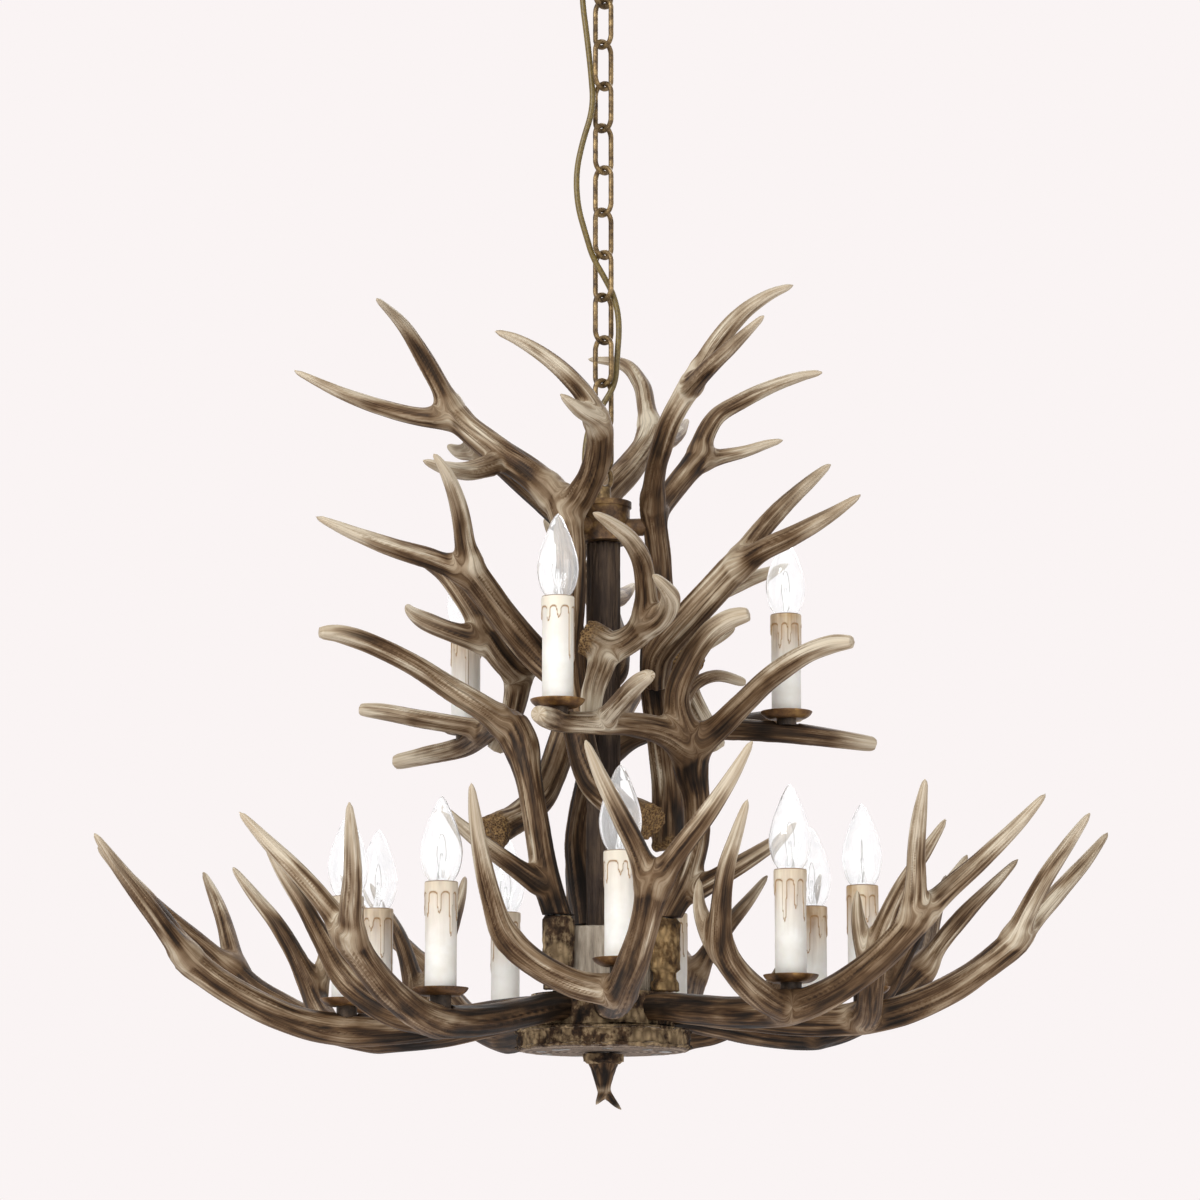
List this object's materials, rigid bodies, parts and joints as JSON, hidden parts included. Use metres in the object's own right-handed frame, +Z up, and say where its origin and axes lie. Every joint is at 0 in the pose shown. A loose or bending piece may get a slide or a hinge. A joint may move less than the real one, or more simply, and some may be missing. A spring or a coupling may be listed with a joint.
{
  "type": "antler chandelier",
  "caption": "Hanging chandelier of branching antlers round a fluted column, with candle-shaped lights on two tiers, hung from a ceiling hook on a chain.",
  "frame": {"origin": "centre of the ceiling face of the bracket, on the axis of the chain and column", "axes": "+Z up towards the ceiling, -Y towards the front, +X to the right seen from the front"},
  "size_m": [0.9128, 0.8963, 1.0821],
  "materials": {
    "antler": "matt, grey-brown streaks with pale tips",
    "bulb_glass": "clear glass",
    "hub_wood": "weathered wood and bark",
    "dark_metal": "dark brown, rubbed",
    "finial": "matt brown",
    "aged_brass": "aged, dull",
    "rusty_plate": "dark bronze with rust",
    "candle": "cream wax look",
    "lampholder": "off white",
    "steel": "zinc plated",
    "cable": "olive brown sheath",
    "terminal": "white"
  },
  "bodies": {
    "ceiling": {"ceiling_bracket": "steel", "ceiling_canopy": "aged_brass", "canopy_screws": "aged_brass", "ceiling_hook": "aged_brass", "hook_nut": "steel"},
    "top_link": {"chain_top_link": "aged_brass"},
    "chain": {"chain_links": "aged_brass", "supply_cable": "cable", "terminal_block": "terminal"},
    "frame": {"lower_antler_1": "antler", "lower_antler_2": "antler", "lower_antler_3": "antler", "lower_antler_4": "antler", "lower_antler_5": "antler", "lower_antler_6": "antler", "lower_antler_7": "antler", "lower_antler_8": "antler", "lower_antler_9": "antler", "upright_antler_1": "antler", "upright_antler_2": "antler", "upright_antler_3": "antler", "middle_antler_1": "antler", "middle_antler_2": "antler", "middle_antler_3": "antler", "inner_antler_1": "antler", "inner_antler_2": "antler", "inner_antler_3": "antler", "top_antler_1": "antler", "top_antler_2": "antler", "top_antler_3": "antler", "hub_disc": "hub_wood", "hub_block": "hub_wood", "hub_drum": "hub_wood", "upright_posts": "hub_wood", "column": "dark_metal", "collar": "dark_metal", "collar_lid": "dark_metal", "antler_bosses": "dark_metal", "finial": "finial", "hanging_loop": "aged_brass", "cable_bush": "aged_brass", "drip_plates": "rusty_plate", "candle_sleeves": "candle", "lampholders": "lampholder", "stem_tube": "steel", "candle_fixings": "steel", "frame_screws": "steel"},
    "bulb_01": {"bulb_01": "bulb_glass"},
    "bulb_02": {"bulb_02": "bulb_glass"},
    "bulb_03": {"bulb_03": "bulb_glass"},
    "bulb_04": {"bulb_04": "bulb_glass"},
    "bulb_05": {"bulb_05": "bulb_glass"},
    "bulb_06": {"bulb_06": "bulb_glass"},
    "bulb_07": {"bulb_07": "bulb_glass"},
    "bulb_08": {"bulb_08": "bulb_glass"},
    "bulb_09": {"bulb_09": "bulb_glass"},
    "bulb_10": {"bulb_10": "bulb_glass"},
    "bulb_11": {"bulb_11": "bulb_glass"},
    "bulb_12": {"bulb_12": "bulb_glass"}
  },
  "joints": [
    {"name": "swing_side", "type": "hinge", "parent": "ceiling", "child": "top_link", "pos_m": [0, 0, -0.065], "axis": [0, 1, 0], "range_deg": [-8, 8]},
    {"name": "swing_front", "type": "hinge", "parent": "top_link", "child": "chain", "pos_m": [0, 0, -0.105], "axis": [1, 0, 0], "range_deg": [-8, 8]},
    {"name": "frame_tilt", "type": "hinge", "parent": "chain", "child": "frame", "pos_m": [0, 0, -0.505], "axis": [1, 0, 0], "range_deg": [-4, 4]},
    {"name": "bulb_01_out", "type": "slide", "parent": "frame", "child": "bulb_01", "axis": [0, 0, 1], "range_m": [0, 0.02]},
    {"name": "bulb_02_out", "type": "slide", "parent": "frame", "child": "bulb_02", "axis": [0, 0, 1], "range_m": [0, 0.02]},
    {"name": "bulb_03_out", "type": "slide", "parent": "frame", "child": "bulb_03", "axis": [0, 0, 1], "range_m": [0, 0.02]},
    {"name": "bulb_04_out", "type": "slide", "parent": "frame", "child": "bulb_04", "axis": [0, 0, 1], "range_m": [0, 0.02]},
    {"name": "bulb_05_out", "type": "slide", "parent": "frame", "child": "bulb_05", "axis": [0, 0, 1], "range_m": [0, 0.02]},
    {"name": "bulb_06_out", "type": "slide", "parent": "frame", "child": "bulb_06", "axis": [0, 0, 1], "range_m": [0, 0.02]},
    {"name": "bulb_07_out", "type": "slide", "parent": "frame", "child": "bulb_07", "axis": [0, 0, 1], "range_m": [0, 0.02]},
    {"name": "bulb_08_out", "type": "slide", "parent": "frame", "child": "bulb_08", "axis": [0, 0, 1], "range_m": [0, 0.02]},
    {"name": "bulb_09_out", "type": "slide", "parent": "frame", "child": "bulb_09", "axis": [0, 0, 1], "range_m": [0, 0.02]},
    {"name": "bulb_10_out", "type": "slide", "parent": "frame", "child": "bulb_10", "axis": [0, 0, 1], "range_m": [0, 0.02]},
    {"name": "bulb_11_out", "type": "slide", "parent": "frame", "child": "bulb_11", "axis": [0, 0, 1], "range_m": [0, 0.02]},
    {"name": "bulb_12_out", "type": "slide", "parent": "frame", "child": "bulb_12", "axis": [0, 0, 1], "range_m": [0, 0.02]}
  ]
}
